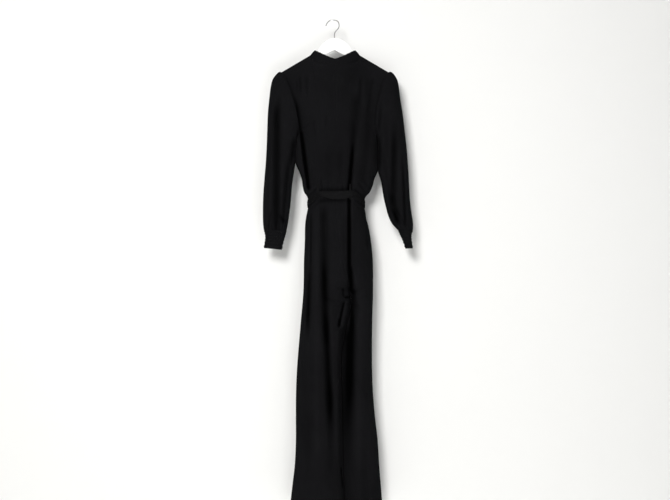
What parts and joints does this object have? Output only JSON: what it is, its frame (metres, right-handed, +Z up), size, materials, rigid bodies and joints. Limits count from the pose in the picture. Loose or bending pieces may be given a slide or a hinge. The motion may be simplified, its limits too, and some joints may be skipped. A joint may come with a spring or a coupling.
{
  "type": "long-sleeved jumpsuit on a clothes hanger",
  "caption": "Long-sleeved jumpsuit with a stand collar, shirred cuffs, tie belt and straight legs, hung on a plastic hanger with a wire hook.",
  "frame": {"origin": "inside top of the hanger's hook, where a rail or peg carries it", "axes": "+Z up, +X to the right of someone who looks at the garment's back, -Y out of the garment's back"},
  "size_m": [0.5095, 0.1324, 1.6562],
  "materials": {
    "cloth": "matt black woven cloth with a soft fall",
    "belt_cloth": "the same black cloth, doubled and pressed",
    "hanger_plastic": "smooth white moulded plastic",
    "hook_steel": "bright bent wire"
  },
  "bodies": {
    "root": {"hanger_body": "hanger_plastic", "hanger_hook": "hook_steel", "collar_band": "cloth", "bodice_back_left": "cloth", "bodice_back_right": "cloth", "bodice_front": "cloth", "sleeve_left": "cloth", "cuff_left": "cloth", "sleeve_right": "cloth", "cuff_right": "cloth", "trouser_back_left": "cloth", "trouser_back_right": "cloth", "trouser_front_right": "cloth", "trouser_front_left": "cloth", "belt": "belt_cloth", "belt_loop_left": "belt_cloth", "belt_loop_right": "belt_cloth", "belt_knot": "belt_cloth", "belt_end_left": "belt_cloth", "belt_end_right": "belt_cloth"}
  },
  "joints": []
}
